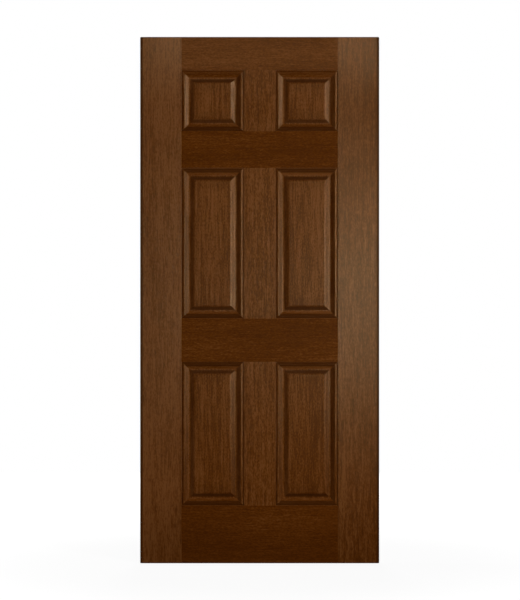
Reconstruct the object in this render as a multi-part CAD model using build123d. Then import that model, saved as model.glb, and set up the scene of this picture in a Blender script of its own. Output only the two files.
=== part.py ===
from build123d import *
import math
import os

# A six-panel timber door slab: grooved stiles, rails and mullions hold raised panels,
# and mitred mouldings cover the joint between frame and panel on both faces.
# Millimetres. The origin is the middle of the bottom edge, Z is up, the front face looks along -Y.

# Slab
slab_thickness = 44.5
slab_edge_radius = 4.0
member_edge_chamfer = 0.2

# Face widths of the frame members
stile_width = 158.25
mullion_width = 122.5
top_rail_width = 128.0
frieze_rail_width = 140.0
lock_rail_width = 165.0
bottom_rail_width = 221.0

# Clear openings between the members
opening_width = 237.5
upper_opening_height = 233.0
middle_opening_height = 576.0
lower_opening_height = 550.0

# Groove round every opening, and the tongues that sit in it
groove_width = 19.0
groove_depth = 13.0
tongue_clearance = 0.25

# Raised panels
panel_expansion_gap = 2.0
panel_margin_width = 1.5
panel_field_recess = 3.0
raise_width = 25.5
raise_turn_run_share = 0.3
raise_turn_rise_share = 0.205

# Moulding strips
moulding_width = 27.0
quirk_width = 2.0
quirk_depth = 5.0
crest_offset = 10.0
crest_recess = 0.5
toe_height = 2.5
ogee_turn_run_share = 0.15
ogee_turn_drop_share = 0.08

# Dowels at the rail ends and at the mullion ends
dowel_diameter = 12.0
dowel_clearance = 0.1
dowel_end_gap = 1.5
rail_dowel_length = 120.0
mullion_dowel_length = 60.0
narrow_rail_dowel_count = 2
wide_rail_dowel_count = 3
mullion_dowel_count = 2

# Square-shanked pins driven through the moulding strips into the frame members
pin_side = 1.4
pin_length = 30.0
pin_clearance = 0.05
pin_head_cover = 1.0
pin_spacing = 200.0

# Worked out from the sizes above
slab_width = 2 * stile_width + 2 * opening_width + mullion_width
half_thickness = slab_thickness / 2
tongue_thickness = groove_width - 2 * tongue_clearance
tongue_level = tongue_thickness / 2
stile_edge_x = slab_width / 2 - stile_width
groove_floor_x = stile_edge_x + groove_depth
column_x = (mullion_width + opening_width) / 2

# Lower edges of the members and openings, from the bottom of the slab to its top
lower_opening_z = bottom_rail_width
lock_rail_z = lower_opening_z + lower_opening_height
middle_opening_z = lock_rail_z + lock_rail_width
frieze_rail_z = middle_opening_z + middle_opening_height
upper_opening_z = frieze_rail_z + frieze_rail_width
top_rail_z = upper_opening_z + upper_opening_height
slab_height = top_rail_z + top_rail_width

# Rows of openings: name, lower edge, height
rows = [
    ("upper", upper_opening_z, upper_opening_height),
    ("middle", middle_opening_z, middle_opening_height),
    ("lower", lower_opening_z, lower_opening_height),
]
columns = [("left", -column_x), ("right", column_x)]

# Rails: name, lower edge, face width, is the lower edge grooved, is the upper edge grooved, dowels at each end
rails = [
    ("top_rail", top_rail_z, top_rail_width, True, False, narrow_rail_dowel_count),
    ("frieze_rail", frieze_rail_z, frieze_rail_width, True, True, narrow_rail_dowel_count),
    ("lock_rail", lock_rail_z, lock_rail_width, True, True, wide_rail_dowel_count),
    ("bottom_rail", 0, bottom_rail_width, False, True, wide_rail_dowel_count),
]


def block(x_range, thickness, z_range):
    """A board between two X and two Z limits, centred on the middle plane of the slab."""
    x_low, x_high = sorted(x_range)
    z_low, z_high = z_range
    middle = Pos((x_low + x_high) / 2, 0, (z_low + z_high) / 2)
    return middle * Box(x_high - x_low, thickness, z_high - z_low)


def board(x_range, z_range):
    """A board of the slab's full thickness, with the edges of both faces eased."""
    timber = block(x_range, slab_thickness, z_range)
    return chamfer(timber.edges().filter_by(Axis.Y, reverse=True), member_edge_chamfer)


def spread(low, high, count):
    """Evenly spaced places between two limits, half a space in from each."""
    space = (high - low) / count
    return [low + space * (index + 1 / 2) for index in range(count)]


def cut(body, tools):
    """The body less those tools that reach it."""
    reach = body.bounding_box()
    return body - [tool for tool in tools if reach.overlaps(tool.bounding_box())]


def moulding_section():
    """Quirk, bead and drawn-out ogee, measured inwards from the frame edge and outwards from the middle plane."""
    crest_level = half_thickness - crest_recess
    toe_level = tongue_level + toe_height
    quirk_floor = half_thickness - quirk_depth
    turn_run = ogee_turn_run_share * (moulding_width - crest_offset)
    turn_drop = ogee_turn_drop_share * (crest_level - toe_level)
    crest = (crest_offset, crest_level)
    shoulder = (crest_offset + turn_run, crest_level - turn_drop)
    hollow = (moulding_width - turn_run, toe_level + turn_drop)
    toe = (moulding_width, toe_level)
    bead = TangentArc(crest, (quirk_width, quirk_floor), tangent=(-1, 0))
    ogee_top = TangentArc(crest, shoulder, tangent=(1, 0))
    ogee_slope = Line(shoulder, hollow)
    ogee_foot = TangentArc(toe, hollow, tangent=(-1, 0))
    back = Polyline(
        toe,
        (moulding_width, tongue_level),
        (0, tongue_level),
        (0, quirk_floor),
        (quirk_width, quirk_floor),
    )
    return make_face([bead, ogee_top, ogee_slope, ogee_foot, back])


def pin_places(length):
    """Places of the pins along a strip, clear of its mitres."""
    limit = length / 2 - moulding_width
    return spread(-limit, limit, math.ceil(length / pin_spacing))


def strip_pins(length, clearance):
    """The pins of a strip, as themselves or larger by a clearance all round."""
    level = (half_thickness + groove_width / 2) / 2
    slope_middle = (crest_offset + moulding_width) / 2
    head = slope_middle - pin_head_cover
    side = pin_side + 2 * clearance
    shank = Box(side, side, pin_length + 2 * clearance)
    return [Pos(x, -level, head - pin_length / 2) * shank for x in pin_places(length)]


def moulding_strip(length):
    """One strip lying along X with its outer edge on the X axis, mitred at both ends and bored for its pins."""
    section_plane = Plane((0, 0, 0), x_dir=(0, 0, 1), z_dir=(1, 0, 0))
    bar = extrude(section_plane * moulding_section(), length / 2, both=True)
    inner = length / 2 - moulding_width
    mitres = Polyline(
        (-length / 2, 0),
        (length / 2, 0),
        (inner, moulding_width),
        (-inner, moulding_width),
        close=True,
    )
    strip = bar & extrude(Plane.XZ * make_face(mitres), half_thickness)
    return strip - strip_pins(length, pin_clearance)


def strip_places(height):
    """The four sides of an opening about its centre: how a strip is turned, and its length."""
    return [
        (Pos(0, 0, -height / 2), opening_width),
        (Pos(0, 0, height / 2) * Rot(0, 180, 0), opening_width),
        (Pos(-opening_width / 2, 0, 0) * Rot(0, 90, 0), height),
        (Pos(opening_width / 2, 0, 0) * Rot(0, -90, 0), height),
    ]


def panel_section(span, low_tongue, high_tongue):
    """Section across a panel: tongues in the grooves, a raise with eased turns on both faces."""
    raise_height = half_thickness - panel_field_recess - tongue_level
    turn_run = raise_turn_run_share * raise_width
    turn_rise = raise_turn_rise_share * raise_height
    foot = span / 2 - moulding_width - panel_margin_width
    top = foot - raise_width
    low_edge = -span / 2 - low_tongue
    high_edge = span / 2 + high_tongue
    outline = [
        Line((low_edge, -tongue_level), (low_edge, tongue_level)),
        Line((high_edge, -tongue_level), (high_edge, tongue_level)),
    ]
    for side in (-1, 1):
        margin = side * tongue_level
        field = side * (tongue_level + raise_height)
        outline += [
            Line((low_edge, margin), (-foot, margin)),
            Line((-top, field), (top, field)),
            Line((foot, margin), (high_edge, margin)),
        ]
        for end in (-1, 1):
            hollow = (end * (foot - turn_run), margin + side * turn_rise)
            shoulder = (end * (top + turn_run), field - side * turn_rise)
            outline += [
                TangentArc((end * foot, margin), hollow, tangent=(-end, 0)),
                Line(hollow, shoulder),
                TangentArc((end * top, field), shoulder, tangent=(end, 0)),
            ]
    return make_face(outline)


def panel(height):
    """A raised panel about the centre of its opening, standing on the floor of the groove below it."""
    side_tongue = groove_depth - panel_expansion_gap
    across = extrude(panel_section(opening_width, side_tongue, side_tongue), height, both=True)
    upright_plane = Plane((0, 0, 0), x_dir=(0, 0, 1), z_dir=(1, 0, 0))
    upright_section = upright_plane * panel_section(height, groove_depth, side_tongue)
    return across & extrude(upright_section, opening_width, both=True)


def rail_dowels(clearance, end_gap):
    """Rods along the dowels at the rail ends, as the dowels themselves or as their holes."""
    rod = Rot(0, 90, 0) * Cylinder(dowel_diameter / 2 + clearance, rail_dowel_length + 2 * end_gap)
    rods = []
    for _, z_low, width, lower_grooved, upper_grooved, count in rails:
        low = z_low + groove_depth * lower_grooved
        high = z_low + width - groove_depth * upper_grooved
        for z in spread(low, high, count):
            rods += [Pos(side * groove_floor_x, 0, z) * rod for side in (-1, 1)]
    return rods


def mullion_dowels(clearance, end_gap):
    """Rods along the dowels at the mullion ends, as the dowels themselves or as their holes."""
    rod = Cylinder(dowel_diameter / 2 + clearance, mullion_dowel_length + 2 * end_gap)
    reach = mullion_width / 2 - groove_depth
    rods = []
    for _, z_low, height in rows:
        for x in spread(-reach, reach, mullion_dowel_count):
            rods.append(Pos(x, 0, z_low - groove_depth) * rod)
            rods.append(Pos(x, 0, z_low + height + groove_depth) * rod)
    return rods


def stile(side):
    """A full-height stile, grooved along its inner edge."""
    timber = board((side * stile_edge_x, side * slab_width / 2), (0, slab_height))
    return timber - block((side * stile_edge_x, side * groove_floor_x), groove_width, (0, slab_height))


def rail(z_low, width, lower_grooved, upper_grooved):
    """A rail between the stiles, with a tongue at each end and a groove wherever panels meet it."""
    z_high = z_low + width
    tongue_low = z_low + groove_depth * lower_grooved
    tongue_high = z_high - groove_depth * upper_grooved
    timber = board((-stile_edge_x, stile_edge_x), (z_low, z_high))
    if lower_grooved:
        timber -= block((-stile_edge_x, stile_edge_x), groove_width, (z_low, tongue_low))
    if upper_grooved:
        timber -= block((-stile_edge_x, stile_edge_x), groove_width, (tongue_high, z_high))
    return timber + block((-groove_floor_x, groove_floor_x), tongue_thickness, (tongue_low, tongue_high))


def mullion(z_low, height):
    """An upright between two rails, grooved down both sides, with a tongue at each end."""
    z_high = z_low + height
    side_x = mullion_width / 2
    tongue_x = side_x - groove_depth
    timber = board((-side_x, side_x), (z_low, z_high))
    for side in (-1, 1):
        timber -= block((side * side_x, side * tongue_x), groove_width, (z_low, z_high))
    return timber + block((-tongue_x, tongue_x), tongue_thickness, (z_low - groove_depth, z_high + groove_depth))


# Frame members before they are bored and eased
members = {"left_stile": stile(-1), "right_stile": stile(1)}
for name, z_low, width, lower_grooved, upper_grooved, _ in rails:
    members[name] = rail(z_low, width, lower_grooved, upper_grooved)
for row_name, z_low, height in rows:
    members[row_name + "_mullion"] = mullion(z_low, height)

# Panels, mouldings and pins in each opening
nodes = {}
pins = []
pin_holes = []
for row_name, z_low, height in rows:
    strips = [place * moulding_strip(length) for place, length in strip_places(height)]
    row_panel = panel(height)
    for column_name, x in columns:
        centre = Pos(x, 0, z_low + height / 2)
        nodes[row_name + "_" + column_name + "_panel"] = centre * row_panel
        for face_name, turn in (("front", Rot(0, 0, 0)), ("back", Rot(0, 0, 180))):
            facing = centre * turn
            nodes[face_name + "_" + row_name + "_" + column_name + "_moulding"] = Compound(
                [facing * strip for strip in strips]
            )
            for place, length in strip_places(height):
                pins += [facing * place * pin for pin in strip_pins(length, 0)]
                pin_holes += [facing * place * hole for hole in strip_pins(length, pin_clearance)]

# Rounded outline of the slab, then the holes for dowels and pins
slab = block((-slab_width / 2, slab_width / 2), slab_thickness, (0, slab_height))
rounded_slab = fillet(slab.edges().filter_by(Axis.Y, reverse=True), slab_edge_radius)
dowel_holes = rail_dowels(dowel_clearance, dowel_end_gap) + mullion_dowels(dowel_clearance, dowel_end_gap)
for name, member in members.items():
    nodes[name] = cut(member & rounded_slab, dowel_holes + pin_holes)

# Fasteners, each kind as one group
nodes["rail_dowels"] = Compound(rail_dowels(0, 0))
nodes["mullion_dowels"] = Compound(mullion_dowels(0, 0))
nodes["moulding_pins"] = Compound(pins)

os.makedirs("parts", exist_ok=True)
for name, node in nodes.items():
    export_step(node, "parts/" + name + ".step")
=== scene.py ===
import math

import bpy
from mathutils import Matrix, Vector


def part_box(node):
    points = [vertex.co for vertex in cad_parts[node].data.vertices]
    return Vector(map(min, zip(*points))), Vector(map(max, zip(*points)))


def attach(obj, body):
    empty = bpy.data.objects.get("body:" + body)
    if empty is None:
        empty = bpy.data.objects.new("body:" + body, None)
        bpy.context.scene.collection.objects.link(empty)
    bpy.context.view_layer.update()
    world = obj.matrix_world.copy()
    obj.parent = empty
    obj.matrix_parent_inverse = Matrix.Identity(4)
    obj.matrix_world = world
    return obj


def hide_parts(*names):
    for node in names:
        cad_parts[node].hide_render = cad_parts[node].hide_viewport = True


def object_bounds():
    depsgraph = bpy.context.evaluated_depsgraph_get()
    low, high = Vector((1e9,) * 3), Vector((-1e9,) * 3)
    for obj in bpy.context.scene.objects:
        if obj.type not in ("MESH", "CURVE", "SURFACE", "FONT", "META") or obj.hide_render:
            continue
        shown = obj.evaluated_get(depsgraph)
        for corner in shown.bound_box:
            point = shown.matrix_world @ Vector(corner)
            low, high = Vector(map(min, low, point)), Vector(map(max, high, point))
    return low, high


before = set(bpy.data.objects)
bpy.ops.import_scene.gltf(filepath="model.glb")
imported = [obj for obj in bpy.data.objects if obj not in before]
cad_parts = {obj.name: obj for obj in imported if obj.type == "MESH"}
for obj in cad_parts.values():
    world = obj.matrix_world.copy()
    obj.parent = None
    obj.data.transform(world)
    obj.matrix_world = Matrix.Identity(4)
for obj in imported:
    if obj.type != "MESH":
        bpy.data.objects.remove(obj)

cad_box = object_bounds()

# Stiles: the two uprights at the long edges of the slab, each planed from one plank of mahogany.
# The inner edge is ploughed for panels and rail tongues, the outline is rounded over, and the timber is
# stained dark brown, glazed in its corners, given painted shade in its corners, along its outer edges and
# toward its foot, and varnished to a satin sheen.
slab_low, slab_high = cad_box
slab_half_width = slab_high.x
slab_height = slab_high.z
half_thickness = slab_high.y
outline_radius = 0.004
outline_segments = 5
arris = 0.0002
eased_angle = math.radians(40)
smooth_angle = math.radians(14)
flat_limit = 0.9999
near = 0.0001
merge_gap = 0.00001
groove_width = 0.019
groove_depth = 0.013
overrun = 0.001

# The left stile's higher tone is painted light, making up for the weaker light that falls on the left
# Each stile's side, name, tone and place in the log, then the sheen and roughness of both
stile_finish = (
    (-1, "left_stile", 0.71, (1.3, 0.2, 0.4)),
    (1, "right_stile", 0.5, (7.9, 2.2, 3.1)),
)
stile_gloss = (0.48, 0.45)
stain_dark = (0.046, 0.0108, 0.0006, 1)
stain_middle = (0.073, 0.0186, 0.0014, 1)
stain_light = (0.112, 0.0370, 0.0080, 1)
stain_stops = ((0.0, stain_dark), (0.5, stain_middle), (1.0, stain_light))
varnish_tint = (0.9, 0.69, 0.385, 1)

# The grain's marks: cells a metre across, through and along the board, then detail and its roughness
grain_marks = {
    "drift": ((9, 9, 1.1), 2.0, 0.5),
    "ribbon": ((95, 95, 4.5), 3.0, 0.6),
    "streak": ((240, 240, 20), 2.0, 0.5),
    "fleck": ((260, 260, 110), 2.0, 0.5),
    "fibre": ((800, 800, 20), 2.0, 0.6),
    "pores": ((1300, 1300, 60), 1.0, 0.5),
}
pore_limits = (-0.20, -0.12)
upright_figure = {"drift": 1.0, "ribbon": 1.7, "streak": 1.6, "fleck": 2.0, "fibre": 1.6}
level_figure = {"drift": 1.4, "ribbon": 0.5, "streak": 0.9, "fleck": 1.5, "fibre": 0.8}
grain_relief = {"fibre": 0.5, "fleck": 0.6, "ribbon": 0.8, "pores": -0.4}
grain_relief_height = 0.0003
grain_roughness = {"ribbon": 0.2, "fleck": 0.4, "pores": 0.1}

# The glaze and painted shade in an opening: glaze lodged in the quirks with painted shade there too, and
# painted shade on the slopes, raises and field edges. The columns: shares on upright and level pieces,
# depth inside an opening, and how far it reaches to either side before and after it fades
glaze_and_shade_colour = (0.026, 0.0060, 0.0003, 1)
glaze_and_shade_limit = 0.9
glaze_and_shade_roughness = 0.1
pore_glaze = 0.3
mitre_fade = 0.001
head_zone = (0.16, 0.22)
quirk_glaze_and_shade_upright, quirk_glaze_and_shade_level, quirk_glaze_and_shade_head = 0.12, 0.75, 0.30
quirk_glaze_and_shade_depths = (0.0035, 0.010)
quirk_glaze_and_shade_reach = (0.0055, 0.0105)
painted_shade_bands = {
    "slope": (0.30, 0.00, 0.018, 0.005, 0.009),
    "raise": (0.35, 0.75, 0.039, 0.004, 0.009),
    "field": (0.04, 0.16, 0.060, 0.008, 0.030),
}
# Painted shade along the slab's rounded outer edges, where the faces turn away from the light
edge_shade_share = 0.85
edge_shade_depth = (0.004, 0.007)
edge_shade_reach = (0.0085, 0.0115)
edge_roughness = 0.4
# Painted shade growing toward the foot of the slab
foot_shade_share = 0.28
foot_shade_reach = (0.02, 0.30)


def pick(piece):
    """Make one piece the only selected object."""
    bpy.ops.object.select_all(action="DESELECT")
    piece.select_set(True)
    bpy.context.view_layer.objects.active = piece


def plank(name, low, high):
    """A squared-up plank between two corners."""
    bpy.ops.object.select_all(action="DESELECT")
    bpy.ops.mesh.primitive_cube_add(size=1, location=(Vector(low) + Vector(high)) / 2)
    piece = bpy.context.active_object
    piece.name = name
    piece.scale = Vector(high) - Vector(low)
    bpy.ops.object.transform_apply(location=True, rotation=False, scale=True)
    return piece


def joinery(piece, other, operation):
    """Cut another solid out of a piece, or glue it on, and use the other one up."""
    pick(piece)
    step = piece.modifiers.new("joinery", "BOOLEAN")
    step.object = other
    step.operation = operation
    step.solver = "EXACT"
    bpy.ops.object.modifier_apply(modifier=step.name)
    bpy.data.objects.remove(other)


def round_outline(piece):
    """Round over those edges of a piece that lie on the outline of the slab's two faces."""
    pick(piece)
    bpy.context.tool_settings.mesh_select_mode = (False, True, False)
    for face in piece.data.polygons:
        face.select = False
    for edge in piece.data.edges:
        ends = [piece.data.vertices[index].co for index in edge.vertices]
        on_face = all(abs(abs(end.y) - half_thickness) < near for end in ends)
        on_side = all(abs(abs(end.x) - slab_half_width) < near for end in ends)
        on_top = all(abs(end.z - slab_height) < near for end in ends)
        on_bottom = all(abs(end.z) < near for end in ends)
        edge.select = on_face and (on_side or on_top or on_bottom)
    bpy.ops.object.mode_set(mode="EDIT")
    bpy.ops.mesh.bevel(offset=outline_radius, offset_type="OFFSET", segments=outline_segments, profile=0.5)
    bpy.ops.object.mode_set(mode="OBJECT")


def smooth_curves(piece):
    """Smooth shading over curves, with true flats left flat and mitres left sharp."""
    pick(piece)
    bpy.ops.object.shade_smooth_by_angle(angle=smooth_angle)
    for face in piece.data.polygons:
        if max(abs(part) for part in face.normal) > flat_limit:
            face.use_smooth = False


def ease_edges(piece):
    """Merge doubled points, and take the sharpness off every remaining edge."""
    pick(piece)
    bpy.ops.object.mode_set(mode="EDIT")
    bpy.ops.mesh.select_all(action="SELECT")
    bpy.ops.mesh.remove_doubles(threshold=merge_gap)
    bpy.ops.object.mode_set(mode="OBJECT")
    step = piece.modifiers.new("eased edges", "BEVEL")
    step.width = arris
    step.segments = 1
    step.limit_method = "ANGLE"
    step.angle_limit = eased_angle
    bpy.ops.object.modifier_apply(modifier=step.name)
    smooth_curves(piece)


class Shade:
    """A value in a material, so that sums of values are written as sums."""

    def __init__(self, tree, socket=None):
        self.tree = tree
        self.socket = socket

    def add(self, kind, settings=None, sockets=None, output=0):
        """Add a node: its type, its settings, its sockets' values or links, and the output that is used."""
        node = self.tree.nodes.new(kind)
        for name, value in (settings or {}).items():
            if name == "stops":
                stops = node.color_ramp.elements
                stops.remove(stops[-1])
                stops[0].position, stops[0].color = value[0]
                for position, colour in value[1:]:
                    stops.new(position).color = colour
            else:
                setattr(node, name, value)
        for name, value in (sockets or {}).items():
            if isinstance(value, Shade):
                self.tree.links.new(value.socket, node.inputs[name])
            else:
                node.inputs[name].default_value = value
        return Shade(self.tree, node.outputs[output] if node.outputs else None)

    def math(self, operation, *values):
        return self.add("ShaderNodeMath", {"operation": operation}, dict(enumerate(values)))

    def __add__(self, other):
        return self.math("ADD", self, other)

    def __radd__(self, other):
        return self.math("ADD", other, self)

    def __sub__(self, other):
        return self.math("SUBTRACT", self, other)

    def __rsub__(self, other):
        return self.math("SUBTRACT", other, self)

    def __mul__(self, other):
        return self.math("MULTIPLY", self, other)

    def __rmul__(self, other):
        return self.math("MULTIPLY", other, self)

    def __abs__(self):
        return self.math("ABSOLUTE", self)

    def least(self, other):
        return self.math("MINIMUM", self, other)

    def most(self, other):
        return self.math("MAXIMUM", self, other)

    def fade(self, start, end):
        """1 up to start, falling smoothly to 0 at end."""
        settings = {"interpolation_type": "SMOOTHSTEP"}
        sockets = {"Value": self, "From Min": start, "From Max": end, "To Min": 1.0, "To Max": 0.0}
        return self.add("ShaderNodeMapRange", settings, sockets)

    def blend(self, first, second):
        """The first value where this one is 0, the second where it is 1."""
        return first + (second - first) * self

    def colours(self, first, second):
        """The first colour where this value is 0, the second where it is 1."""
        sockets = {"Factor": self, 6: first, 7: second}
        return self.add("ShaderNodeMix", {"data_type": "RGBA"}, sockets, output=2)


def shading(owner):
    """Clear a material or the world, and hand back what adds its nodes."""
    owner.use_nodes = True
    owner.node_tree.nodes.clear()
    return Shade(owner.node_tree)


row_names = ("upper", "middle", "lower")


def opening_depths(across, up):
    """How far a point lies inside the nearest panel opening, from its level and from its upright edges."""
    boxes = [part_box("front_" + row + "_right_moulding") for row in row_names]
    upper, middle, lower = ((high.z - low.z) / 2 - abs(up - (high.z + low.z) / 2) for low, high in boxes)
    level_depth = upper.most(middle).most(lower)
    low, high = boxes[0]
    upright_depth = (high.x - low.x) / 2 - abs(abs(across) - (high.x + low.x) / 2)
    return level_depth, upright_depth


def stained_timber(name, grain, tone, gloss, start):
    """Stained and varnished mahogany, with its grain along X or Z.

    Tone lightens it, gloss is its sheen and roughness, and start is its place in the log.
    """
    sheen, roughness = gloss
    material = bpy.data.materials.new(name)
    maker = shading(material)
    where = maker.add("ShaderNodeTexCoord", output="Object")
    x, y, z = (maker.add("ShaderNodeSeparateXYZ", sockets={"Vector": where}, output=axis) for axis in "XYZ")
    across, along = (x, z) if grain == "Z" else (z, x)
    fibres = maker.add("ShaderNodeCombineXYZ", sockets={"X": across, "Y": y, "Z": along})

    marks = {}
    for mark, (cells, detail, fineness) in grain_marks.items():
        drawn = maker.add("ShaderNodeMapping", sockets={"Vector": fibres, "Location": start, "Scale": cells})
        sockets = {"Vector": drawn, "Scale": 1.0, "Detail": detail, "Roughness": fineness}
        marks[mark] = maker.add("ShaderNodeTexNoise", sockets=sockets) - 0.5
    marks["pores"] = marks["pores"].fade(*pore_limits)

    def marked(total, shares):
        """A value with shares of the grain's marks added."""
        for mark, share in shares.items():
            total = total + share * marks[mark]
        return total

    figure = upright_figure if grain == "Z" else level_figure
    stain = maker.add("ShaderNodeValToRGB", {"stops": stain_stops}, {"Fac": marked(tone, figure)})

    # Glaze and painted shade: darker in the quirks, and on the slopes, raises and field edges of each
    # opening
    level_depth, upright_depth = opening_depths(x, z)
    on_level = (level_depth - upright_depth).fade(-mitre_fade, mitre_fade)
    on_head = (slab_height - z).fade(*head_zone)
    depth = level_depth.least(upright_depth)
    quirk_share = on_level.blend(quirk_glaze_and_shade_upright, on_head.blend(quirk_glaze_and_shade_level, quirk_glaze_and_shade_head))
    glaze_and_shade = quirk_share * abs(depth - on_level.blend(*quirk_glaze_and_shade_depths)).fade(*quirk_glaze_and_shade_reach)
    for upright_share, level_share, middle, whole, faded in painted_shade_bands.values():
        share = on_level.blend(upright_share, level_share)
        glaze_and_shade = glaze_and_shade.most(share * abs(depth - middle).fade(whole, faded))
    # Painted shade along the slab's outer edges
    near_face = (half_thickness - abs(y)).fade(*edge_shade_depth)
    near_edge = (slab_half_width - abs(x)).fade(*edge_shade_reach)
    edge_shade = edge_shade_share * near_face * near_edge
    # Painted shade toward the foot
    foot_shade = foot_shade_share * z.fade(*foot_shade_reach)
    glaze_and_shade = glaze_and_shade.most(edge_shade).most(foot_shade)
    glazed_and_shaded = (glaze_and_shade + pore_glaze * marks["pores"]).least(glaze_and_shade_limit).colours(stain, glaze_and_shade_colour)

    relief = {"Strength": 1.0, "Distance": grain_relief_height, "Height": marked(0.0, grain_relief)}
    dulled = marked(roughness, grain_roughness) + glaze_and_shade_roughness * glaze_and_shade + edge_roughness * edge_shade
    surface = maker.add(
        "ShaderNodeBsdfPrincipled",
        sockets={
            "Base Color": glazed_and_shaded,
            "Roughness": dulled,
            "Normal": maker.add("ShaderNodeBump", sockets=relief),
            "Specular IOR Level": sheen,
            "Specular Tint": varnish_tint,
        },
    )
    maker.add("ShaderNodeOutputMaterial", sockets={"Surface": surface})
    return material


def give_finish(piece, material):
    """Give a piece one finish all over."""
    piece.data.materials.clear()
    piece.data.materials.append(material)


def fit(piece, material, slot, *nodes):
    """Finish a piece, fix it to the slab and let it stand for the nodes that it models."""
    give_finish(piece, material)
    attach(piece, "root")
    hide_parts(*nodes)


for side, name, tone, start in stile_finish:
    low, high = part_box(name)
    stile = plank(name + "_plank", low, high)
    inner_x = low.x if side > 0 else high.x
    groove_ends = sorted((inner_x - side * overrun, inner_x + side * groove_depth))
    groove = plank(
        "groove",
        (groove_ends[0], -groove_width / 2, low.z - overrun),
        (groove_ends[1], groove_width / 2, high.z + overrun),
    )
    joinery(stile, groove, "DIFFERENCE")
    round_outline(stile)
    ease_edges(stile)
    fit(stile, stained_timber(name + " timber", "Z", tone, stile_gloss, start), "stile_timber", name)

# Rails: the four cross pieces between the stiles, planed from planks with the grain running across.
# Each end has a tongue in the stile's groove, and the edges that meet panels are ploughed.
# Cross grain drinks more stain, so the rails are darker than the uprights.
tongue_thickness = 0.0185
# The top rail's higher tone is painted light from above, and the bottom rail's lower tone painted shade at
# the foot
# Each rail's tone and sheen
rail_finish = {
    "top_rail": (0.5, 0.2),
    "frieze_rail": (0.32, 0.05),
    "lock_rail": (0.35, 0.05),
    "bottom_rail": (0.17, 0.05),
}
rail_roughness = 0.55
rail_log, rail_log_step = (0, 1.1, 4.3), (2.7, 0, 0)
stile_edge_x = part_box("right_stile")[0].x


def log_place(first, step, number):
    """The place in the log of a numbered piece, so many steps on from the first one."""
    return tuple(begin + move * number for begin, move in zip(first, step))


for number, (name, (tone, sheen)) in enumerate(rail_finish.items()):
    low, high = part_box(name)
    ploughed_low = name != "bottom_rail"
    ploughed_high = name != "top_rail"
    tongue_low = low.z + groove_depth * ploughed_low
    tongue_high = high.z - groove_depth * ploughed_high
    rail = plank(name + "_plank", (-stile_edge_x, low.y, low.z), (stile_edge_x, high.y, high.z))
    tongue = plank(
        "tongue",
        (low.x, -tongue_thickness / 2, tongue_low),
        (high.x, tongue_thickness / 2, tongue_high),
    )
    joinery(rail, tongue, "UNION")
    for ploughed, groove_low, groove_high in (
        (ploughed_low, low.z - overrun, tongue_low),
        (ploughed_high, tongue_high, high.z + overrun),
    ):
        if ploughed:
            groove = plank(
                "groove",
                (-stile_edge_x - overrun, -groove_width / 2, groove_low),
                (stile_edge_x + overrun, groove_width / 2, groove_high),
            )
            joinery(rail, groove, "DIFFERENCE")
    round_outline(rail)
    ease_edges(rail)
    start = log_place(rail_log, rail_log_step, number)
    timber = stained_timber(name + " timber", "X", tone, (sheen, rail_roughness), start)
    fit(rail, timber, "rail_timber", name)

# Mullions: the short uprights between the rails, of the same timber with its grain upright again.
# Both sides are ploughed for the panels, and a tongue at each end sits in the rail's groove.
mullion_tone = 0.5
upright_gloss = (0.205, 0.45)
mullion_log, mullion_log_step = (12.4, 3.3, 0), (0, 0, 2.9)

for number, row in enumerate(row_names):
    name = row + "_mullion"
    low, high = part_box(name)
    row_low, row_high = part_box("front_" + row + "_left_moulding")
    tongue_x = high.x - groove_depth
    mullion = plank(name + "_plank", (low.x, low.y, row_low.z), (high.x, high.y, row_high.z))
    tongue = plank(
        "tongue",
        (-tongue_x, -tongue_thickness / 2, low.z),
        (tongue_x, tongue_thickness / 2, high.z),
    )
    joinery(mullion, tongue, "UNION")
    for groove_low, groove_high in ((low.x - overrun, -tongue_x), (tongue_x, high.x + overrun)):
        groove = plank(
            "groove",
            (groove_low, -groove_width / 2, row_low.z - overrun),
            (groove_high, groove_width / 2, row_high.z + overrun),
        )
        joinery(mullion, groove, "DIFFERENCE")
    ease_edges(mullion)
    start = log_place(mullion_log, mullion_log_step, number)
    timber = stained_timber(name + " timber", "Z", mullion_tone, upright_gloss, start)
    fit(mullion, timber, "mullion_timber", name)

# Panels: six boards of the same timber that float in the grooves, raised and fielded on both faces.
# The raise round each field is one slope with eased turns at its foot and top, mitring at the
# corners. Each board stands on the floor of the groove below it, with room at its sides and top.
margin_width = 0.0285
raise_width = 0.0255
field_recess = 0.003
raise_turn_run_share = 0.3
raise_turn_rise_share = 0.205
raise_turn_steps = 6
facing_limit = 0.99
# Each panel's tone evens out the light that falls on it, lighter where less falls, so it is painted light
panel_tones_with_painted_light = (0.65, 0.56, 0.57, 0.47, 0.57, 0.53)
panel_log, panel_log_step = (2.3, 6.1, 0), (1.9, 0, 1.7)


def tangent_arc(start, end, steps):
    """Points of an arc that leaves its start level and ends at its end, each as (inwards, outwards)."""
    run = end[0] - start[0]
    rise = end[1] - start[1]
    radius = (run ** 2 + rise ** 2) / (2 * abs(rise))
    sweep = 2 * math.atan2(abs(rise), abs(run))
    points = []
    for step in range(steps + 1):
        turn = sweep * step / steps
        inwards = start[0] + math.copysign(radius * math.sin(turn), run)
        outwards = start[1] + math.copysign(radius * (1 - math.cos(turn)), rise)
        points.append((inwards, outwards))
    return points


raise_height = half_thickness - field_recess - tongue_thickness / 2
raise_turn = (raise_turn_run_share * raise_width, raise_turn_rise_share * raise_height)
raise_top = (raise_width, raise_height)
raise_shoulder = (raise_width - raise_turn[0], raise_height - raise_turn[1])
panel_profile = tangent_arc((0, 0), raise_turn, raise_turn_steps)
panel_profile += tangent_arc(raise_top, raise_shoulder, raise_turn_steps)[::-1]

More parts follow.
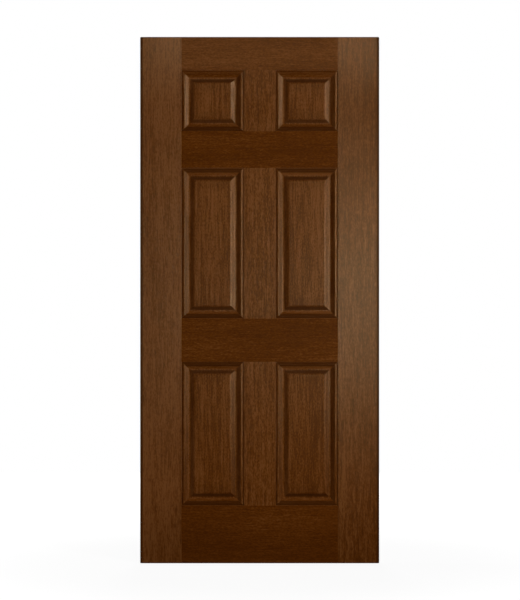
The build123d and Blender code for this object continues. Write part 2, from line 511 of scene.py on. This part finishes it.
openings = [(row, column) for row in row_names for column in ("left", "right")]
for number, (row, column) in enumerate(openings):
    name = row + "_" + column + "_panel"
    low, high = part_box(name)
    opening_low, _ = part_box("front_" + row + "_" + column + "_moulding")
    tongue_width = opening_low.x - low.x
    even_low = opening_low.z - tongue_width
    panel = plank(
        name + "_board",
        (low.x, -tongue_thickness / 2, even_low),
        (high.x, tongue_thickness / 2, high.z),
    )
    for facing in (-1, 1):
        pick(panel)
        bpy.context.tool_settings.mesh_select_mode = (False, False, True)
        for face in panel.data.polygons:
            on_tongue = abs(abs(face.center.y) - tongue_thickness / 2) < near
            face.select = on_tongue and face.normal.y * facing > facing_limit
        bpy.ops.object.mode_set(mode="EDIT")
        bpy.ops.mesh.inset(thickness=tongue_width + margin_width, depth=0)
        for before, after in zip(panel_profile, panel_profile[1:]):
            bpy.ops.mesh.inset(thickness=after[0] - before[0], depth=after[1] - before[1])
        bpy.ops.object.mode_set(mode="OBJECT")
    # The tongue at the foot is longer than the others and reaches the floor of its groove
    for vertex in panel.data.vertices:
        if abs(vertex.co.z - even_low) < near:
            vertex.co.z = low.z
    smooth_curves(panel)
    start = log_place(panel_log, panel_log_step, number)
    timber = stained_timber(name + " timber", "Z", panel_tones_with_painted_light[number], upright_gloss, start)
    fit(panel, timber, "panel_timber", name)

# Mouldings: strips with a quirk, a bead and a slope that eases into its foot, mitred round each
# opening on both faces. They are run from the same timber, pinned to the frame, and leave the
# panels free to move.
moulding_width = 0.027
quirk_width = 0.002
quirk_depth = 0.005
crest_offset = 0.010
crest_recess = 0.0005
toe_height = 0.0025
turn_run_share = 0.15
turn_drop_share = 0.08
bead_steps = 7
turn_steps = 5
key_digits = 6
strip_tone, strip_gloss, strip_log = 0.5, (0.225, 0.45), (3.7, 8.1, 5.5)
# The level strips are stained lighter as painted light, making up for the shade on their slopes
level_tone_with_painted_light, level_gloss, level_log = 0.75, (0.05, 0.55), (9.1, 4.7, 6.3)

base_level = tongue_thickness / 2
quirk_corner = (quirk_width, half_thickness - quirk_depth)
crest = (crest_offset, half_thickness - crest_recess)
toe = (moulding_width, base_level + toe_height)
turn_run = turn_run_share * (toe[0] - crest[0])
turn_drop = turn_drop_share * (crest[1] - toe[1])
moulding_profile = [(0, quirk_corner[1])]
moulding_profile += tangent_arc(crest, quirk_corner, bead_steps)[::-1]
moulding_profile += tangent_arc(crest, (crest[0] + turn_run, crest[1] - turn_drop), turn_steps)[1:]
moulding_profile += tangent_arc(toe, (toe[0] - turn_run, toe[1] + turn_drop), turn_steps)[::-1]


def moulding_strip(name, length):
    """One strip along X at the foot of an opening, on the front face, with mitred ends."""
    bpy.ops.object.select_all(action="DESELECT")
    bpy.ops.mesh.primitive_grid_add(x_subdivisions=1, y_subdivisions=len(moulding_profile) - 1, size=1)
    strip = bpy.context.active_object
    strip.name = name
    rows = sorted({round(vertex.co.y, key_digits) for vertex in strip.data.vertices})
    for vertex in strip.data.vertices:
        inwards, _ = moulding_profile[rows.index(round(vertex.co.y, key_digits))]
        side = math.copysign(length / 2 - inwards, vertex.co.x)
        vertex.co = (side, -base_level, inwards)
    bpy.ops.object.mode_set(mode="EDIT")
    bpy.ops.mesh.select_all(action="SELECT")
    bpy.ops.mesh.extrude_region_move(TRANSFORM_OT_translate={"value": (0, -toe_height, 0)})
    bpy.ops.object.mode_set(mode="OBJECT")
    levels = {round(inwards, key_digits): outwards for inwards, outwards in moulding_profile}
    for vertex in strip.data.vertices:
        if vertex.co.y < -base_level - toe_height / 2:
            vertex.co.y = -levels[round(vertex.co.z, key_digits)]
    bpy.ops.object.mode_set(mode="EDIT")
    bpy.ops.mesh.select_all(action="SELECT")
    bpy.ops.mesh.normals_make_consistent(inside=False)
    bpy.ops.object.mode_set(mode="OBJECT")
    return strip


upright_moulding = stained_timber("upright moulding timber", "Z", strip_tone, strip_gloss, strip_log)
level_moulding = stained_timber("level moulding timber", "X", level_tone_with_painted_light, level_gloss, level_log)
for face_name, facing in (("front", 0), ("back", math.pi)):
    for row, column in openings:
        node = face_name + "_" + row + "_" + column + "_moulding"
        low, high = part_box(node)
        width = high.x - low.x
        height = high.z - low.z
        centre = Matrix.Translation(((low.x + high.x) / 2, 0, (low.z + high.z) / 2))
        centre = centre @ Matrix.Rotation(facing, 4, "Z")
        sides = (
            ("foot", 0, width, height, level_moulding),
            ("head", math.pi, width, height, level_moulding),
            ("left", math.pi / 2, height, width, upright_moulding),
            ("right", -math.pi / 2, height, width, upright_moulding),
        )
        for side_name, quarter, length, gap, material in sides:
            strip = moulding_strip(node + "_" + side_name, length)
            turned = Matrix.Rotation(quarter, 4, "Y") @ Matrix.Translation((0, 0, -gap / 2))
            strip.data.transform(centre @ turned)
            smooth_curves(strip)
            fit(strip, material, "moulding_timber", node)

# Dowels: plain beech rods that tie the rails to the stiles and the mullions to the rails.
# They are glued into blind holes, so nothing of them shows on the finished slab.
beech_dark = (0.45, 0.27, 0.12, 1)
beech_light = (0.60, 0.40, 0.21, 1)
beech_cells = 900.0
beech_roughness = 0.5
beech = bpy.data.materials.new("bare beech")
maker = shading(beech)
where = maker.add("ShaderNodeTexCoord", output="Object")
fleck = maker.add("ShaderNodeTexNoise", sockets={"Vector": where, "Scale": beech_cells, "Detail": 2.0})
flecked = {"Base Color": fleck.colours(beech_dark, beech_light), "Roughness": beech_roughness}
bare_wood = maker.add("ShaderNodeBsdfPrincipled", sockets=flecked)
maker.add("ShaderNodeOutputMaterial", sockets={"Surface": bare_wood})
for name in ("rail_dowels", "mullion_dowels"):
    give_finish(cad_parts[name], beech)

# Pins: lengths of square bright steel, driven through the moulding strips into the frame members.
# Their heads are sunk below the slope and covered, so nothing of them shows either.
steel_colour = (0.56, 0.56, 0.57, 1)
steel_cells = 2000.0
steel_roughness = 0.25
drawn_roughness = 0.2
steel = bpy.data.materials.new("bright steel")
maker = shading(steel)
where = maker.add("ShaderNodeTexCoord", output="Object")
drawn = maker.add("ShaderNodeTexNoise", sockets={"Vector": where, "Scale": steel_cells, "Detail": 2.0})
dulled = steel_roughness + drawn_roughness * drawn
polished = {"Base Color": steel_colour, "Metallic": 1.0, "Roughness": dulled}
metal = maker.add("ShaderNodeBsdfPrincipled", sockets=polished)
maker.add("ShaderNodeOutputMaterial", sockets={"Surface": metal})
give_finish(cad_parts["moulding_pins"], steel)

# Stage: a pale floor under the slab and white all round it, with soft lamps in front, to the right,
# behind and to the left, and three narrow ones that give only gloss. The camera stands square to
# the front face, at the distance of a long lens.
floor_size = 8.0
floor_colour = (0.10, 0.10, 0.10, 1)
white = (1, 1, 1, 1)
# The floor's glow is painted grey near the slab, a painted shade round its foot, fading to white further out
floor_painted_shade = (0.92, 0.92, 0.92, 1)
floor_painted_shade_reach = (0.6, 1.8)
bpy.ops.object.select_all(action="DESELECT")
bpy.ops.mesh.primitive_plane_add(size=floor_size, location=(0, 0, slab_low.z))
floor = bpy.context.active_object
floor.name = "floor"
pale = bpy.data.materials.new("pale floor")
maker = shading(pale)
seen = maker.add("ShaderNodeLightPath", output="Is Camera Ray")
matt = maker.add("ShaderNodeBsdfDiffuse", sockets={"Color": floor_colour})
where = maker.add("ShaderNodeTexCoord", output="Object")
distance = maker.add("ShaderNodeVectorMath", {"operation": "LENGTH"}, {0: where}, output="Value")
glow_with_painted_shade = distance.fade(*floor_painted_shade_reach).colours(white, floor_painted_shade)
glow = maker.add("ShaderNodeEmission", sockets={"Color": glow_with_painted_shade, "Strength": seen})
lit = maker.add("ShaderNodeAddShader", sockets={0: matt, 1: glow})
maker.add("ShaderNodeOutputMaterial", sockets={"Surface": lit})
floor.data.materials.append(pale)

fill_level = 0.08
room_level = 0.01
behind_turn = (-0.1, 0.3)
world = bpy.data.worlds.new("white surround")
bpy.context.scene.world = world
maker = shading(world)
seen = maker.add("ShaderNodeLightPath", output="Is Camera Ray")
mirrored = maker.add("ShaderNodeLightPath", output="Is Glossy Ray")
through = maker.add("ShaderNodeLightPath", output="Is Transmission Ray")
direction = maker.add("ShaderNodeTexCoord", output="Generated")
backwards = maker.add("ShaderNodeSeparateXYZ", sockets={"Vector": direction}, output="Y")
behind = 1 - backwards.fade(*behind_turn)
shown = seen.most(through).most(mirrored * behind)
strength = shown.blend(mirrored.blend(fill_level, room_level), 1.0)
surround = maker.add("ShaderNodeBackground", sockets={"Color": white, "Strength": strength})
maker.add("ShaderNodeOutputWorld", sockets={"Surface": surround})


def soft_lamp(name, place, target, width, height, power, spread=180, gloss=True, body=True):
    """A soft lamp turned to a target, its beam as wide as spread, that gives gloss, body light or both."""
    lamp = bpy.data.lights.new(name, "AREA")
    lamp.shape = "RECTANGLE"
    lamp.size = width
    lamp.size_y = height
    lamp.energy = power
    lamp.spread = math.radians(spread)
    holder = bpy.data.objects.new(name, lamp)
    holder.location = place
    holder.rotation_euler = (Vector(target) - Vector(place)).to_track_quat("-Z", "Y").to_euler()
    holder.visible_camera = False
    holder.visible_glossy = gloss
    holder.visible_diffuse = body
    bpy.context.scene.collection.objects.link(holder)


slab_middle = (0, 0, 1.0)
soft_lamp("front lamp", (0, -4.0, 1.1), slab_middle, 1.2, 1.2, 36, gloss=False)
soft_lamp("key lamp", (4.7, -6.9, 1.5), slab_middle, 1.6, 1.6, 565, gloss=False)
soft_lamp("back lamp", (0, 4.0, 1.1), slab_middle, 1.2, 1.2, 125, gloss=False)
soft_lamp("left lamp", (-4.0, 0.6, 1.1), slab_middle, 0.8, 0.8, 60, gloss=False)
soft_lamp("right gloss", (1.9, -2.4, 1.15), (0.1, 0, 1.05), 0.6, 0.6, 6.2, spread=32, body=False)
soft_lamp("side gloss", (2.5, -1.7, 1.95), (-0.05, 0, 1.93), 0.4, 0.4, 1.6, spread=20, body=False)
soft_lamp("upper gloss", (0.1, -1.0, 2.12), (0.1, 0, 2.0), 1.1, 0.1, 0.29, spread=30, body=False)

picture_height_px = 600
metres_per_pixel = 0.003823
slab_offset_px = (0.3, 0.12)
lens_mm = 120
sensor_mm = 36
view_height = picture_height_px * metres_per_pixel
camera_distance = view_height * lens_mm / sensor_mm
camera = bpy.data.cameras.new("camera")
camera.lens = lens_mm
camera.sensor_width = sensor_mm
eye = bpy.data.objects.new("camera", camera)
eye.location = (
    slab_offset_px[0] * metres_per_pixel,
    -half_thickness - camera_distance,
    slab_height / 2 + slab_offset_px[1] * metres_per_pixel,
)
eye.rotation_euler = (math.pi / 2, 0, 0)
bpy.context.scene.collection.objects.link(eye)
bpy.context.scene.camera = eye
bpy.context.scene.view_settings.view_transform = "Standard"
